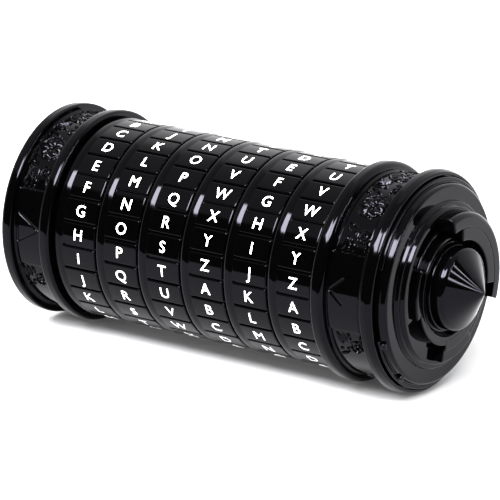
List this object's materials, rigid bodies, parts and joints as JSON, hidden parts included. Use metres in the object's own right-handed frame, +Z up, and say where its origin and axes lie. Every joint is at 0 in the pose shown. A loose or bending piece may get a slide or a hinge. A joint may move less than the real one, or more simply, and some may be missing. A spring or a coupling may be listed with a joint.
{
  "type": "cryptex",
  "caption": "Combination puzzle cylinder: lettered rings turned to a code word free a pull-out message tube.",
  "frame": {"origin": "middle of the underside, on the surface that the cryptex lies on", "axes": "+X along the axis towards the pointed opening end, +Z up"},
  "size_m": [0.1368, 0.0598, 0.0598],
  "materials": {
    "black_enamel": "high gloss black",
    "ring_enamel": "high gloss black, white letters",
    "barrel_steel": "turned",
    "tube_aluminium": "satin",
    "screw_steel": "zinc plated",
    "spring_steel": "tempered",
    "washer_nylon": "matt",
    "brass": "turned"
  },
  "bodies": {
    "housing": {"barrel_tube": "barrel_steel", "tail_cap": "black_enamel", "tail_plate": "black_enamel", "tail_screw": "screw_steel", "barrel_screws": "screw_steel", "disc_spring": "spring_steel", "spacer_washers": "washer_nylon", "retainer_collar": "brass", "retainer_screws": "screw_steel"},
    "message_core": {"inner_tube": "tube_aluminium", "tooth_rail": "brass", "head_cap": "black_enamel", "head_plate": "black_enamel", "head_screws": "screw_steel", "finial_washer": "black_enamel", "cone_finial": "black_enamel"},
    "ring_1": {"letter_ring_1": "ring_enamel", "lock_ring_1": "brass"},
    "ring_2": {"letter_ring_2": "ring_enamel", "lock_ring_2": "brass"},
    "ring_3": {"letter_ring_3": "ring_enamel", "lock_ring_3": "brass"},
    "ring_4": {"letter_ring_4": "ring_enamel", "lock_ring_4": "brass"},
    "ring_5": {"letter_ring_5": "ring_enamel", "lock_ring_5": "brass"},
    "ring_6": {"letter_ring_6": "ring_enamel", "lock_ring_6": "brass"}
  },
  "joints": [
    {"name": "ring_1_turn", "type": "hinge", "parent": "housing", "child": "ring_1", "pos_m": [0, 0, 0.0299], "axis": [1, 0, 0], "continuous": true},
    {"name": "ring_2_turn", "type": "hinge", "parent": "housing", "child": "ring_2", "pos_m": [0, 0, 0.0299], "axis": [1, 0, 0], "continuous": true},
    {"name": "ring_3_turn", "type": "hinge", "parent": "housing", "child": "ring_3", "pos_m": [0, 0, 0.0299], "axis": [1, 0, 0], "continuous": true},
    {"name": "ring_4_turn", "type": "hinge", "parent": "housing", "child": "ring_4", "pos_m": [0, 0, 0.0299], "axis": [1, 0, 0], "continuous": true},
    {"name": "ring_5_turn", "type": "hinge", "parent": "housing", "child": "ring_5", "pos_m": [0, 0, 0.0299], "axis": [1, 0, 0], "continuous": true},
    {"name": "ring_6_turn", "type": "hinge", "parent": "housing", "child": "ring_6", "pos_m": [0, 0, 0.0299], "axis": [1, 0, 0], "continuous": true},
    {"name": "core_pull", "type": "slide", "parent": "housing", "child": "message_core", "axis": [1, 0, 0], "range_m": [0, 0.1]}
  ]
}
